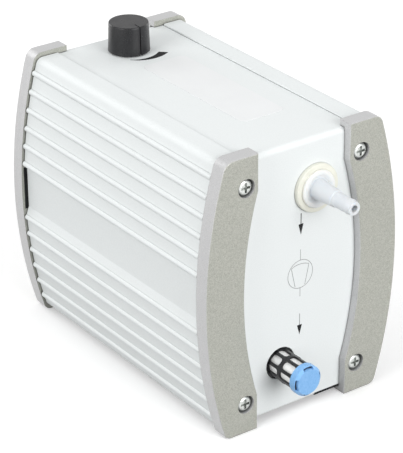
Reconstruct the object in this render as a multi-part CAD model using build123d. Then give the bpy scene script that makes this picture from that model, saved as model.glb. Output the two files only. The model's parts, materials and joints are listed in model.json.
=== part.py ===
from build123d import *
import math
import os

# Diaphragm vacuum pump in a soundproof case, in millimetres.
# +Z is up, the front panel looks along -Y and the feet stand on z = 0. The
# pieces are drawn about the middle of the four brackets, and are saved with
# the origin on the floor under the middle of the whole, nozzle included.

os.makedirs("parts", exist_ok=True)

# ---------------------------------------------------------------- driving dimensions

# Case
overall_height = 165.0        # bracket feet to bracket tops
overall_depth = 191.0         # front bracket face to rear bracket face
corner_half_width = 51.3      # mid plane to a bracket's outer corner
side_bulge = 12.8             # how far the sides swell at mid height
bracket_thickness = 9.3
bracket_top_radius = 6.0
bracket_foot_radius = 5.0
bracket_edge_radius = 0.8
inner_half_width = 30.3       # mid plane to a bracket's inner edge, near its ends
inner_bulge = 8.9             # how far that edge swells outwards
inner_straight = 21.4         # straight length at each end of the inner edge
panel_setback = 5.2           # front panel behind the bracket face
sheet_thickness = 1.5
bend_radius = 1.5             # inside radius of the cover's two bends
top_drop = 3.7                # top sheet below the bracket tops
panel_lift = 4.1              # lower edge of the front panel above the floor
cover_half_width = 36.5

# Side extrusions
extrusion_wall = 2.6
extrusion_inset = 1.7         # flat flank inside the bracket's outline
flange_step = 1.0             # flange stands above the top sheet
flange_corner_radius = 4.5
ledge_width = 5.0
rib_count = 6                 # beads above the grip groove, and as many below
rib_pitch = 10.8
rib_first = 17.1              # first bead from mid height
rib_radius = 1.7
rib_stand = 1.5               # bead above the flank
groove_depth = 2.0            # grip band between the two sets of beads
groove_slope = 4.6            # height of its lower, sloping side
groove_edge = 0.2             # flat left beside a bead
bracket_gap = 0.5             # between an extrusion's end and its bracket
channel_x = 38.1              # screw channels, and the bracket screws in them
channel_from_end = 17.8
channel_radius = 4.6
web_thickness = 2.4

# Base plate
base_thickness = 2.0
base_lift = 3.2
base_tab_from = 13.0
base_tab_to = 30.5
base_tab_thickness = 0.8
base_vent_count = 6
base_vent_pitch = 9.0
base_vent_width = 4.0
base_vent_length = 26.0

# Bracket screws, M5 pan head
screw_radius = 2.5
screw_head_radius = 4.75
screw_head_height = 3.3
screw_length = 22.0
screw_recess_depth = 4.0
screw_dome = 2.3              # rounding of the head
screw_head_room = 0.55        # recess round the head
cross_width = 1.4
cross_span = 5.6
cross_depth = 1.9
base_screw_radius = 1.5
base_screw_head_radius = 2.8
base_screw_length = 6.0

# Suction inlet on the front panel
inlet_x = 11.0
inlet_from_top = 32.8         # below the bracket tops
inlet_washer_radius = 13.8
inlet_washer_thickness = 2.5
inlet_flange_radius = 10.7
inlet_flange_thickness = 1.6
inlet_dish_depth = 0.8
inlet_hub_radius = 5.9
inlet_neck_radius = 4.35
inlet_neck_length = 2.5
inlet_barb_root = 3.9         # between two barbs
inlet_barb_radius = 4.35
inlet_barb_count = 3
inlet_barb_pitch = 4.0
inlet_bore_radius = 2.0
inlet_reach = 33.0            # nozzle tip in front of the panel
inlet_thread_radius = 6.0
inlet_nut_radius = 9.0
inlet_nut_thickness = 5.0
tail_reach = 9.5              # threaded tails behind the panel's outer face

# Exhaust silencer on the front panel
silencer_x = -10.9
silencer_z = 32.0
silencer_reach = 25.2
silencer_radius = 8.4
silencer_foot_length = 1.0     # floor of the cage, behind the panel's face
silencer_hole_radius = 9.6    # opening in the panel round the cage
silencer_flange_radius = 12.5
silencer_flange_thickness = 2.0
silencer_wall = 1.3
silencer_lip = 0.5            # spigot inside the cap
silencer_cap_radius = 9.0
silencer_cap_face_radius = 7.5
silencer_cap_bevel = 1.6
silencer_cap_length = 5.6
silencer_slot_count = 4
silencer_slot_length = 6.2
silencer_slot_width = 1.2
silencer_slot_depth = 2.4
silencer_window_count = 8
silencer_window_width = 4.5
silencer_window_corner = 1.5
silencer_long_window = 9.8
silencer_ring = 1.9           # ring between the two rows of windows
silencer_bar_end = 0.2        # cage rim at the cap
silencer_nut_radius = 9.6
silencer_thread_radius = 6.5

# Vacuum regulator in the top sheet
regulator_x = -0.9
regulator_from_rear = 24.0    # in front of the rear panel
knob_radius = 12.1
knob_top_radius = 11.5
knob_height = 16.9
knob_lift = 0.8
knob_edge_radius = 0.7
knob_groove_width = 0.7
knob_groove_depth = 0.5
knob_recess_radius = 9.8
knob_recess_depth = 4.2
valve_neck_radius = 6.0
valve_body_radius = 9.0
valve_body_below_port = 6.0
needle_length = 6.0
valve_nut_radius = 8.4
valve_nut_thickness = 2.6
spindle_radius = 3.0

# Rear panel
inlet_socket_x = -12.0
inlet_socket_z = 27.0
socket_width = 27.0
socket_height = 20.0
socket_bezel = 2.4
socket_depth = 13.0
socket_pin_thickness = 2.0
socket_pin_width = 4.0
socket_pin_pitch = 7.0
tab_length = 7.0              # terminals behind the mains inlet and the switch
switch_x = 16.5
switch_z = 27.0
switch_width = 13.0
switch_height = 19.0
switch_bezel = 1.8
switch_depth = 13.0
switch_tab_pitch = 5.0
switch_wall = 1.2
trunnion_radius = 1.2
rocker_tilt = 8.0
rear_vent_count = 7
rear_vent_pitch = 7.5
rear_vent_width = 3.2
rear_vent_span = 52.0

# Motor
crank_to_motor = 40.0         # diaphragm's middle to the stator's front face
stator_corner_radius = 12.0
stator_yoke = 18.0            # stator's flat side to its bore
stator_slot_count = 24
stator_slot_depth = 11.0
stator_slot_width = 3.0
air_gap = 0.5
winding_cover = 5.0           # end turns inside the stator's flat side
winding_length = 9.0
shield_length = 12.0
shield_wall = 3.0
shield_foot_half_width = 30.0
shield_gap = 4.0              # stator above its cradle
seat_gap = 0.5                # diaphragm seat above the stator
lead_room = 8.3               # between the rear shield and the inlet's terminals
shaft_radius = 5.0
bearing_radius = 13.0
bearing_width = 8.0
bearing_race = 2.2
fan_inset = 9.4               # blade tips inside the stator's flat side
fan_length = 9.0
fan_hub_radius = 8.0
fan_blade_count = 9
fan_blade_thickness = 1.8
tie_bolt_radius = 2.0
tie_bolt_inset = 6.0          # from the stator's flat side

# Pump
stroke_radius = 2.0           # eccentric throw, half the diaphragm's stroke
journal_radius = 8.5
rod_bearing_radius = 17.5
rod_bearing_width = 10.0
rod_ring_wall = 4.0
rod_shank_half_width = 6.0
crankcase_wall = 4.0
crankcase_half_length = 24.0
crankcase_foot_z = 22.0
seat_radius = 33.0
seat_wall = 7.0               # seat's rim, round the chamber
seat_thickness = 5.5
diaphragm_thickness = 2.0
clamp_gap = 9.0               # free ring of the diaphragm
clamp_thickness = 2.5
valve_plate_thickness = 9.0
head_thickness = 20.0
port_height = 8.4             # hose ports above the head's lower face
head_bolt_seat = 10.0
head_bolt_head = 5.0
head_bolt_grip = 12.0         # below the diaphragm
head_recess_depth = 3.6
counterweight_radius = 24.0
counterweight_thickness = 7.0
head_bolt_radius = 2.5
head_bolt_inset = 5.0         # bolt circle inside the head's rim
head_bolt_count = 4
head_bolt_room = 9.0          # from the bolt circle to the head's chambers
head_chamber_wall = 4.0
port_radius = 4.0
hose_radius = 4.5
barb_radius = 3.0
barb_bore_radius = 1.8
tail_barb_length = 6.0
front_barb_length = 5.0
barb_gap = 3.7                # between two barbs in one hose
rear_barb_length = 9.0
side_barb_length = 4.0
port_boss_radius = 6.5
fitting_flange = 3.0
regulator_port_x = 6.0
flap_radius = 6.0
flap_thickness = 0.8

# Frame that carries the motor and pump
cradle_thickness = 2.0
cradle_half_width = 32.0
cradle_lip = 6.0
cradle_margin = 2.0
cradle_window_half_width = 16.0
cradle_window_inset = 14.0    # from the front and rear mounts
mount_radius = 8.0
mount_x = 21.0
mount_screw_head_radius = 4.2
mount_screw_head_height = 1.8
mount_screw_bite = 5.0        # into the rubber
mount_screw_reach = 7.0      # upper mount screws, into the crankcase and the rear shield
capacitor_radius = 12.5
capacitor_overhang = 8.0      # longer than the stator stack
capacitor_start = 2.0         # in front of the stack
capacitor_x = -27.0
capacitor_clip_width = 12.0
lead_radius = 0.9
lead_bend_radius = 1.6

# Clearances
sheet_clearance = 0.3         # between sheets and the profiles round them
screw_clearance = 0.1
running_clearance = 0.05      # radial, shaft in bore
seat_clearance = 0.02         # radial, pressed races and pinned parts
soft_clearance = 0.3
hose_fit = 0.05
travel_clearance = 1.0

capacitor_lift = 2.0          # under the capacitor, over the stator

# ---------------------------------------------------------------- derived places

mid_height = overall_height / 2
half_depth = overall_depth / 2
side_radius = (side_bulge**2 + mid_height**2) / (2 * side_bulge)
side_centre_x = corner_half_width + side_bulge - side_radius
panel_y = half_depth - panel_setback            # outer face of the front and rear panels
panel_inner_y = panel_y - sheet_thickness
bracket_inner_y = half_depth - bracket_thickness
top_z = overall_height - top_drop               # upper face of the top sheet
top_inner_z = top_z - sheet_thickness
flange_top_z = top_z + flange_step
floor_z = overall_height - top_inner_z          # upper face of the base plate
rim_inset = extrusion_inset + extrusion_wall    # pocket wall inside the bracket's outline
channel_top_z = overall_height - channel_from_end
inlet_z = overall_height - inlet_from_top
regulator_y = panel_y - regulator_from_rear
rocker_pivot_y = panel_y - 1.5
frame_shift_y = (panel_y + inlet_reach - half_depth) / 2    # puts the origin under the middle of the whole

head_z = inlet_z - port_height
head_top_z = head_z + head_thickness
valve_plate_z = head_z - valve_plate_thickness
diaphragm_z = valve_plate_z - diaphragm_thickness
rod_top_z = diaphragm_z - clamp_thickness
pump_y = (
    -panel_y + tail_reach + tail_barb_length + barb_gap + front_barb_length
    + fitting_flange + screw_clearance + seat_radius
)
front_fitting_y = pump_y - seat_radius - screw_clearance
rear_fitting_y = pump_y + seat_radius + screw_clearance
side_fitting_x = -seat_radius - screw_clearance
seat_inner_radius = seat_radius - seat_wall
clamp_radius = seat_inner_radius - clamp_gap
crankcase_half_width = seat_radius
flap_offset = seat_radius / 3
head_bolt_circle = seat_radius - head_bolt_inset
hose_bore_radius = barb_radius + hose_fit
head_chamber_half_y = head_bolt_circle / 2
head_chamber_end = head_bolt_circle - head_bolt_room

cradle_z = crankcase_foot_z - cradle_thickness
stator_top_z = diaphragm_z - seat_thickness - seat_gap
stator_half = (stator_top_z - crankcase_foot_z - shield_gap) / 2
motor_axis_z = stator_top_z - stator_half
crank_z = motor_axis_z + stroke_radius          # eccentric axis, at top dead centre
stator_bore_radius = stator_half - stator_yoke
rotor_radius = stator_bore_radius - air_gap
winding_outer_radius = stator_half - winding_cover
tie_bolt_offset = stator_half - tie_bolt_inset
motor_front_y = pump_y + crank_to_motor
motor_back_y = panel_y - socket_depth - tab_length - lead_room - shield_length
front_bearing_y = motor_front_y - shield_length + 1.0
rear_bearing_y = motor_back_y + shield_length - 1.0 - bearing_width
shaft_front_y = pump_y - rod_bearing_width / 2 - counterweight_thickness - 2.0
fan_radius = stator_half - fan_inset
fan_y = motor_back_y + shield_length + 3.0
capacitor_z = stator_top_z + capacitor_radius + capacitor_lift
capacitor_front_y = motor_front_y - capacitor_start
capacitor_back_y = motor_back_y - capacitor_start + capacitor_overhang


# ---------------------------------------------------------------- helpers

def block(x0, x1, y0, y1, z0, z1):
    """Box between two corners."""
    middle = Pos((x0 + x1) / 2, (y0 + y1) / 2, (z0 + z1) / 2)
    return middle * Box(x1 - x0, y1 - y0, z1 - z0)


def rod_y(radius, y0, y1, x=0.0, z=0.0):
    """Cylinder along Y."""
    return Pos(x, (y0 + y1) / 2, z) * Rot(90, 0, 0) * Cylinder(radius, y1 - y0)


def rod_z(radius, z0, z1, x=0.0, y=0.0):
    """Cylinder along Z."""
    return Pos(x, y, (z0 + z1) / 2) * Cylinder(radius, z1 - z0)


def ring_y(outer, inner, y0, y1, x=0.0, z=0.0):
    return rod_y(outer, y0, y1, x, z) - rod_y(inner, y0 - 1, y1 + 1, x, z)


def prism_y(face, y0, y1):
    """Extrude a face drawn in (x, z) from y1 down to y0."""
    plane = Plane(origin=(0, y1, 0), x_dir=(1, 0, 0), z_dir=(0, -1, 0))
    return extrude(plane * face, y1 - y0)


def prism_x(face, x0, x1):
    """Extrude a face drawn in (y, z) from x0 to x1."""
    plane = Plane(origin=(x0, 0, 0), x_dir=(0, 1, 0), z_dir=(1, 0, 0))
    return extrude(plane * face, x1 - x0)


def turned(points):
    """Solid of revolution about Z through (radius, height) points."""
    outline = Polyline(*[(radius, height) for radius, height in points], close=True)
    return revolve(Plane.XZ * make_face(outline), Axis.Z)


def to_front(part, x, z):
    """Stand a part drawn along +Z out of the front panel."""
    return Pos(x, -panel_y, z) * Rot(90, 0, 0) * part


def hexagon(radius, height):
    return extrude(RegularPolygon(radius, 6), height)


def side_x(z, inset=0.0):
    """Half width of the case's outline at a height, moved inwards by inset."""
    return side_centre_x + math.sqrt((side_radius - inset)**2 - (z - mid_height)**2)


def outline_face(inset, z0, z1, x0=0.0):
    """Right half of the case's cross section between two heights."""
    outer = ThreePointArc(
        (side_x(z0, inset), z0), (side_x(mid_height, inset), mid_height), (side_x(z1, inset), z1)
    )
    rest = Polyline((side_x(z1, inset), z1), (x0, z1), (x0, z0), (side_x(z0, inset), z0))
    return make_face(outer + rest)


def mirrored(part):
    return mirror(part, Plane.YZ)


def cross_recess(y_face):
    """Cross recess cut into a screw head whose face looks along -Y."""
    half_span = cross_span / 2
    half_width = cross_width / 2
    cut = block(-half_span, half_span, y_face, y_face + cross_depth, -half_width, half_width)
    return cut + Rot(0, 90, 0) * cut


def channel_places():
    """Centres of the four screw channels, as (x, z)."""
    return [(sx * channel_x, z) for sx in (-1, 1) for z in (channel_from_end, channel_top_z)]


# ---------------------------------------------------------------- case

def bracket_right():
    """Die-cast corner bracket at the front right."""
    inner = (
        Line((inner_half_width, 0), (inner_half_width, inner_straight))
        + ThreePointArc(
            (inner_half_width, inner_straight),
            (inner_half_width + inner_bulge, mid_height),
            (inner_half_width, overall_height - inner_straight),
        )
        + Line((inner_half_width, overall_height - inner_straight), (inner_half_width, overall_height))
    )
    outer = (
        Line((inner_half_width, overall_height), (corner_half_width, overall_height))
        + ThreePointArc(
            (corner_half_width, overall_height),
            (corner_half_width + side_bulge, mid_height),
            (corner_half_width, 0),
        )
        + Line((corner_half_width, 0), (inner_half_width, 0))
    )
    face = make_face(inner + outer)
    corners = face.vertices().sort_by(Axis.X)[-2:].sort_by(Axis.Y)
    face = fillet(corners[0], bracket_foot_radius)
    top_corner = face.vertices().sort_by(Axis.Y)[-2:].sort_by(Axis.X)[-1]
    face = fillet(top_corner, bracket_top_radius)
    body = prism_y(face, -half_depth, -bracket_inner_y)
    body = fillet(body.faces().sort_by(Axis.Y)[0].edges(), bracket_edge_radius)
    pocket_top = top_z + sheet_clearance
    pocket_foot = base_lift - sheet_clearance
    pocket = prism_y(outline_face(rim_inset, pocket_foot, pocket_top), -panel_y, -bracket_inner_y + 1)
    body = body - pocket
    for z in (channel_from_end, channel_top_z):
        body = body - rod_y(screw_radius + screw_clearance, -half_depth - 1, -bracket_inner_y, channel_x, z)
        recess_radius = screw_head_radius + screw_head_room
        recess_end = -half_depth + screw_recess_depth
        body = body - rod_y(recess_radius, -half_depth - 1, recess_end, channel_x, z)
    return body


def bracket_screw(x, z):
    """M5 pan-head screw seated in a front bracket's recess."""
    seat = -half_depth + screw_recess_depth
    face = seat - screw_head_height
    head = rod_y(screw_head_radius, face, seat)
    head = fillet(head.faces().sort_by(Axis.Y)[0].edges(), screw_dome)
    shank = rod_y(screw_radius, seat, seat + screw_length)
    return Pos(x, 0, z) * (head + shank - cross_recess(face))


def bracket_screws_front():
    return Compound([bracket_screw(x, z) for x, z in channel_places()])


def side_profile():
    """Cross section of the right side extrusion, in (x, z)."""
    foot_z = overall_height - flange_top_z
    x_in = cover_half_width + sheet_clearance
    outer = outline_face(extrusion_inset, foot_z, flange_top_z, x_in)
    corners = outer.vertices().sort_by(Axis.X)[-2:]
    outer = fillet(corners, flange_corner_radius)
    foot_inner = foot_z + extrusion_wall - 0.1
    top_inner = flange_top_z - extrusion_wall + 0.1
    profile = outer - outline_face(rim_inset, foot_inner, top_inner, x_in - 5)
    ledge_x = cover_half_width - ledge_width
    ledge_high = top_inner_z - 0.05
    for sign in (1, -1):
        heights = (ledge_high - extrusion_wall, ledge_high)
        edges = [mid_height + sign * (height - mid_height) for height in heights]
        low, high = sorted(edges)
        ledge_end = cover_half_width + 3
        ledge = Rectangle(ledge_end - ledge_x, high - low)
        profile = profile + Pos((ledge_x + ledge_end) / 2, (low + high) / 2) * ledge
        join_low, join_high = sorted((mid_height + sign * (top_inner - 2 - mid_height), edges[1] + sign * 1.0))
        join = Pos(cover_half_width + 2, (join_low + join_high) / 2)
        profile = profile + join * Rectangle(3.4, join_high - join_low)
        channel_z = mid_height + sign * (channel_top_z - mid_height)
        web_low, web_high = sorted((channel_z, edges[0] + sign * 0.5))
        web = Pos(channel_x, (web_low + web_high) / 2) * Rectangle(web_thickness, web_high - web_low)
        profile = profile + web + Pos(channel_x, channel_z) * Circle(channel_radius)
    return profile


def groove_face(inset, margin, extra):
    """Grip band along the flank: recessed under the beads above, sloping out below."""
    floor_x = side_x(mid_height, extrusion_inset) - groove_depth - inset
    mouth_x = side_x(mid_height) + extra
    reach = rib_first - rib_radius - groove_edge + margin
    high, low = mid_height + reach, mid_height - reach
    points = [(mouth_x, low), (mouth_x, high), (floor_x, high), (floor_x, low + groove_slope)]
    flank_x = side_x(low, extrusion_inset) - inset
    points.append((flank_x, low))
    return make_face(Polyline(*points, close=True))


def side_extrusion_right():
    """Aluminium side wall: beaded flank, grip groove, flanges and screw channels."""
    length = bracket_inner_y - bracket_gap
    profile = side_profile()
    backing = groove_face(extrusion_wall, extrusion_wall, -rim_inset)
    profile = profile + backing - groove_face(0, 0, 2)
    for sign in (1, -1):
        for number in range(rib_count):
            z = mid_height + sign * (rib_first + number * rib_pitch)
            x = side_x(z, extrusion_inset) + rib_stand - rib_radius
            profile = profile + Pos(x, z) * Circle(rib_radius)
    body = prism_y(profile, -length, length)
    for z in (channel_from_end, channel_top_z):
        reach = panel_inner_y
        body = body + rod_y(channel_radius, -reach, reach, channel_x, z)
        body = body - rod_y(screw_radius + running_clearance, -reach - 1, reach + 1, channel_x, z)
    for x, y in base_screw_places():
        if x > 0:
            body = body - rod_z(base_screw_radius + running_clearance, base_lift, floor_z + 9, x, y)
    return body


def base_screw_places():
    """Screws that hold the base plate to the side ledges, as (x, y)."""
    x = cover_half_width - ledge_width * 0.6
    return [(sx * x, y * bracket_inner_y * 0.75) for sx in (-1, 1) for y in (-1, 0, 1)]


def front_outline():
    """Outline of the front and rear panels with the narrower top sheet, in (x, z)."""
    inset = rim_inset + sheet_clearance
    shoulder_z = top_inner_z - bend_radius - 2.0
    half = outline_face(inset, panel_lift, shoulder_z)
    strip = Rectangle(cover_half_width, top_z - panel_lift)
    neck = Pos(cover_half_width / 2, (panel_lift + top_z) / 2) * strip
    half = half + neck
    return half + mirror(half, Plane.YZ)


def rear_vents():
    """Cooling slots in the rear panel, rounded at their ends, behind the fan."""
    slots = []
    for number in range(rear_vent_count):
        z = motor_axis_z + 8 + (number - (rear_vent_count - 1) / 2) * rear_vent_pitch
        slots.append(Pos(0, z) * SlotOverall(rear_vent_span, rear_vent_width))
    return prism_y(Sketch() + slots, panel_inner_y - 1, panel_y + 1)


def housing_cover():
    """Front panel, top sheet and rear panel, bent from one sheet."""
    outer = Pos(0, (panel_lift + top_z) / 2) * Rectangle(2 * panel_y, top_z - panel_lift)
    outer = fillet(outer.vertices().sort_by(Axis.Y)[-2:], bend_radius + sheet_thickness)
    inner_height = top_inner_z - panel_lift + 5
    inner = Pos(0, top_inner_z - inner_height / 2) * Rectangle(2 * panel_inner_y, inner_height)
    inner = fillet(inner.vertices().sort_by(Axis.Y)[-2:], bend_radius)
    reach = corner_half_width + side_bulge
    sheet = prism_x(outer - inner, -reach, reach)
    sheet = sheet & prism_y(front_outline(), -panel_y - 1, panel_y + 1)
    for x, z in channel_places():
        sheet = sheet - rod_y(screw_radius + sheet_clearance, -panel_y - 1, panel_y + 1, x, z)
    sheet = sheet - rod_y(inlet_thread_radius + screw_clearance, -panel_y - 1, 0, inlet_x, inlet_z)
    sheet = sheet - rod_y(silencer_hole_radius, -panel_y - 1, 0, silencer_x, silencer_z)
    valve_hole = valve_neck_radius + screw_clearance
    sheet = sheet - rod_z(valve_hole, mid_height, top_z + 1, regulator_x, regulator_y)
    sheet = sheet - opening(inlet_socket_x, inlet_socket_z, socket_width, socket_height)
    sheet = sheet - opening(switch_x, switch_z, switch_width, switch_height)
    return sheet - rear_vents()


def opening(x, z, width, height):
    """Rectangular opening in the rear panel for a snap-in part."""
    gap = screw_clearance
    return block(
        x - width / 2 - gap, x + width / 2 + gap,
        panel_inner_y - 1, panel_y + 1,
        z - height / 2 - gap, z + height / 2 + gap,
    )


def base_plate():
    """Black steel floor of the case with cooling slots and a front locating tab."""
    half = cover_half_width - sheet_clearance
    length = panel_inner_y - sheet_clearance
    plate = block(-half, half, -length, length, base_lift, base_lift + base_thickness)
    plate = plate + block(
        base_tab_from, base_tab_to, -panel_y + 0.3, -length, base_lift, base_lift + base_tab_thickness
    )
    for side in (-1, 1):
        for number in range(base_vent_count):
            y = side * 18 + (number - (base_vent_count - 1) / 2) * base_vent_pitch * 0.6 * side
            if side < 0:
                y = y - 4
            slot = Pos(0, y) * SlotOverall(base_vent_length, base_vent_width * 0.6)
            plate = plate - extrude(Pos(0, 0, base_lift - 1) * slot, base_thickness + 2)
    for x, y in base_screw_places():
        plate = plate - rod_z(base_screw_radius + screw_clearance, 0, mid_height, x, y)
    for x, y in rubber_mount_places():
        plate = plate - rod_z(screw_radius + screw_clearance, 0, mid_height, x, y)
    return plate


def base_screws():
    """Low-head screws from below, through the base plate into the ledges."""
    screws = []
    for x, y in base_screw_places():
        head = rod_z(base_screw_head_radius, base_lift - 1.6, base_lift, x, y)
        head = fillet(head.edges().sort_by(Axis.Z)[0], 0.6)
        screws.append(head + rod_z(base_screw_radius, base_lift, base_lift + base_screw_length, x, y))
    return Compound(screws)


# ---------------------------------------------------------------- inlet, silencer, regulator

def inlet_washer():
    washer = rod_z(inlet_washer_radius, 0, inlet_washer_thickness)
    washer = fillet(washer.edges().sort_by(Axis.Z)[-1], 0.6)
    washer = washer - rod_z(inlet_thread_radius + screw_clearance, -1, inlet_washer_thickness + 1)
    return to_front(washer, inlet_x, inlet_z)


def inlet_nozzle():
    """Moulded hose nozzle: dished flange, long tapered hub, barbs and a threaded tail."""
    base = inlet_washer_thickness
    flange_top = base + inlet_flange_thickness
    hub_top = inlet_reach - inlet_barb_count * inlet_barb_pitch - inlet_neck_length
    neck_top = hub_top + inlet_neck_length
    tail_end = -tail_reach - tail_barb_length
    points = [(inlet_thread_radius, -tail_reach), (inlet_thread_radius, base), (inlet_flange_radius, base)]
    points += [(inlet_flange_radius, flange_top - 0.5), (inlet_flange_radius - 0.5, flange_top)]
    points += [(inlet_hub_radius + 2.6, flange_top), (inlet_hub_radius + 1.2, flange_top - inlet_dish_depth)]
    points += [(inlet_hub_radius, flange_top - inlet_dish_depth), (inlet_neck_radius + 0.4, hub_top)]
    points += [(inlet_neck_radius, hub_top + 0.1), (inlet_neck_radius, neck_top)]
    for number in range(inlet_barb_count):
        start = neck_top + number * inlet_barb_pitch
        points += [(inlet_barb_radius, start + 0.3), (inlet_barb_root, start + inlet_barb_pitch)]
    points[-1] = (inlet_barb_root - 0.2, inlet_reach)
    points += [(inlet_bore_radius, inlet_reach), (inlet_bore_radius, tail_end)]
    points += [(barb_radius, tail_end), (barb_radius, -tail_reach)]
    return to_front(turned(points), inlet_x, inlet_z)


def inlet_nut():
    nut = hexagon(inlet_nut_radius, inlet_nut_thickness)
    nut = Pos(0, 0, -sheet_thickness - inlet_nut_thickness) * nut
    nut = nut - rod_z(inlet_thread_radius + screw_clearance, -tail_reach - 1, 1)
    return to_front(nut, inlet_x, inlet_z)


def silencer_cage():
    """Slotted cage of the exhaust silencer with its foot ring and threaded tail."""
    cap_start = silencer_reach - silencer_cap_length
    bore = silencer_radius - silencer_wall
    floor = silencer_foot_length - sheet_thickness
    cage = rod_z(silencer_radius, -sheet_thickness, cap_start)
    cage = cage + rod_z(bore + silencer_lip, cap_start, silencer_reach - 3.0)
    cage = cage - rod_z(bore, floor, silencer_reach)
    cage = cage + rod_z(silencer_thread_radius, -tail_reach, -sheet_thickness)
    cage = cage + rod_z(barb_radius, -tail_reach - tail_barb_length, -tail_reach)
    cage = cage - rod_z(inlet_bore_radius, -tail_reach - tail_barb_length - 1, floor + 1)
    long_end = cap_start - silencer_bar_end
    long_start = long_end - silencer_long_window
    short_end = long_start - silencer_ring
    for low, high in ((floor, short_end), (long_start, long_end)):
        face = Rectangle(silencer_window_width, high - low)
        face = fillet(face.vertices(), silencer_window_corner)
        window = prism_y(Pos(0, (low + high) / 2) * face, -silencer_radius - 1, -bore + 2)
        for number in range(silencer_window_count):
            cage = cage - Rot(0, 0, number * 360 / silencer_window_count) * window
    return to_front(cage, silencer_x, silencer_z)


def silencer_element():
    """Sintered white element inside the cage."""
    radius = silencer_radius - silencer_wall - running_clearance
    start = silencer_foot_length - sheet_thickness + running_clearance
    element = rod_z(radius, start, silencer_reach - 3.2) - rod_z(radius - 2.5, start - 1, silencer_reach - 6)
    return to_front(element, silencer_x, silencer_z)


def silencer_cap():
    """Cap with a bevelled rim and key slots round its face."""
    start = silencer_reach - silencer_cap_length + running_clearance
    shoulder = silencer_reach - silencer_cap_bevel
    inner = silencer_radius - silencer_wall + silencer_lip + running_clearance
    points = [(0, silencer_reach - 2.8), (inner, silencer_reach - 2.8), (inner, start)]
    points += [(silencer_cap_radius, start), (silencer_cap_radius, shoulder)]
    points += [(silencer_cap_face_radius, silencer_reach), (0, silencer_reach)]
    cap = turned(points)
    slot_high = silencer_cap_face_radius + silencer_slot_width
    ring = rod_z(slot_high, silencer_reach - silencer_slot_depth, silencer_reach + 1)
    ring = ring - rod_z(silencer_cap_face_radius, 0, silencer_reach + 2)
    for number in range(silencer_slot_count):
        half = silencer_slot_length / 2
        sector = block(0, silencer_cap_radius + 1, -half, half, 0, silencer_reach + 1)
        cap = cap - (ring & Rot(0, 0, number * 360 / silencer_slot_count) * sector)
    return to_front(cap, silencer_x, silencer_z)


def silencer_nut():
    """Flanged nut inside the panel that the silencer screws into."""
    flange_back = -sheet_thickness - silencer_flange_thickness
    nut = Pos(0, 0, flange_back - inlet_nut_thickness) * hexagon(silencer_nut_radius, inlet_nut_thickness)
    nut = nut + rod_z(silencer_flange_radius, flange_back, -sheet_thickness)
    nut = nut - rod_z(silencer_thread_radius + screw_clearance, -tail_reach - 1, 1)
    return to_front(nut, silencer_x, silencer_z)


def control_knob():
    """Tapered knob with a fine pointer groove and a recess over the lock nut."""
    low = top_z + knob_lift
    high = low + knob_height
    body = turned([(0, low), (knob_radius, low), (knob_top_radius, high), (0, high)])
    body = fillet(body.edges().sort_by(Axis.Z)[-1], knob_edge_radius)
    body = body - rod_z(knob_recess_radius, low - 1, low + knob_recess_depth)
    body = body - rod_z(spindle_radius + seat_clearance, low - 1, high - 3)
    half = knob_groove_width / 2
    groove_floor = -knob_top_radius + knob_groove_depth
    body = body - block(-half, half, -knob_radius - 1, groove_floor, low - 1, high + 1)
    line_end = -knob_top_radius * 0.55
    body = body - block(-half, half, -knob_radius, line_end, high - knob_groove_depth, high + 1)
    return Pos(regulator_x, regulator_y, 0) * body


def valve_spindle():
    """Needle spindle that the knob turns."""
    top = top_z + knob_lift + knob_height - 3.1
    low = inlet_z + needle_length / 2
    stem = rod_z(spindle_radius, low, top)
    needle = Pos(0, 0, low - needle_length / 2) * Cone(0.6, spindle_radius, needle_length)
    return Pos(regulator_x, regulator_y, 0) * (stem + needle)


def regulator_valve():
    """Brass valve body under the top sheet, with its neck and a hose barb forwards."""
    low = inlet_z - valve_body_below_port
    body = rod_z(valve_body_radius, low, top_inner_z)
    body = body + rod_z(valve_neck_radius, top_inner_z, top_z + valve_nut_thickness + 0.6)
    body = chamfer(body.edges().sort_by(Axis.Z)[0], 1.0)
    bore_low = inlet_z - needle_length / 2 - 0.5
    body = body - rod_z(spindle_radius + running_clearance, bore_low, top_z + valve_nut_thickness + 1)
    barb_end = -valve_body_radius - rear_barb_length
    body = body + rod_y(barb_radius, barb_end, -valve_body_radius + 1, 0, inlet_z)
    body = body - rod_y(barb_bore_radius, barb_end - 1, 0, 0, inlet_z)
    return Pos(regulator_x, regulator_y, 0) * body


def valve_lock_nut():
    nut = Pos(0, 0, top_z) * hexagon(valve_nut_radius, valve_nut_thickness)
    nut = nut - rod_z(valve_neck_radius + screw_clearance, top_z - 1, top_z + 9)
    return Pos(regulator_x, regulator_y, 0) * nut


# ---------------------------------------------------------------- rear electrics

def appliance_inlet():
    """Snap-in mains inlet for a plug-in lead."""
    x, z = inlet_socket_x, inlet_socket_z
    half_w, half_h = socket_width / 2, socket_height / 2
    face = RectangleRounded(socket_width + 2 * socket_bezel, socket_height + 2 * socket_bezel, 2.5)
    bezel = prism_y(Pos(x, z) * face, panel_y, panel_y + 2.0)
    body = block(x - half_w, x + half_w, panel_y - socket_depth, panel_y, z - half_h, z + half_h)
    cavity_face = Pos(x, z) * Rectangle(socket_width - 3.4, socket_height - 4.4)
    cavity_face = chamfer(cavity_face.vertices().sort_by(Axis.Y)[-2:], 4.0)
    cavity = prism_y(cavity_face, panel_y - socket_depth + 2.0, panel_y + 3)
    inlet = bezel + body - cavity
    for pin_x, pin_z in inlet_pin_places():
        inlet = inlet - pin_blank(pin_x, pin_z, seat_clearance, panel_y - socket_depth - 1, panel_y)
    return inlet


def inlet_pin_places():
    x, z = inlet_socket_x, inlet_socket_z
    return [(x - socket_pin_pitch, z - 1.5), (x + socket_pin_pitch, z - 1.5), (x, z + 2.5)]


def pin_blank(x, z, extra, y0, y1):
    half_t = socket_pin_thickness / 2 + extra
    half_w = socket_pin_width / 2 + extra
    return block(x - half_t, x + half_t, y0, y1, z - half_w, z + half_w)


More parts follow.
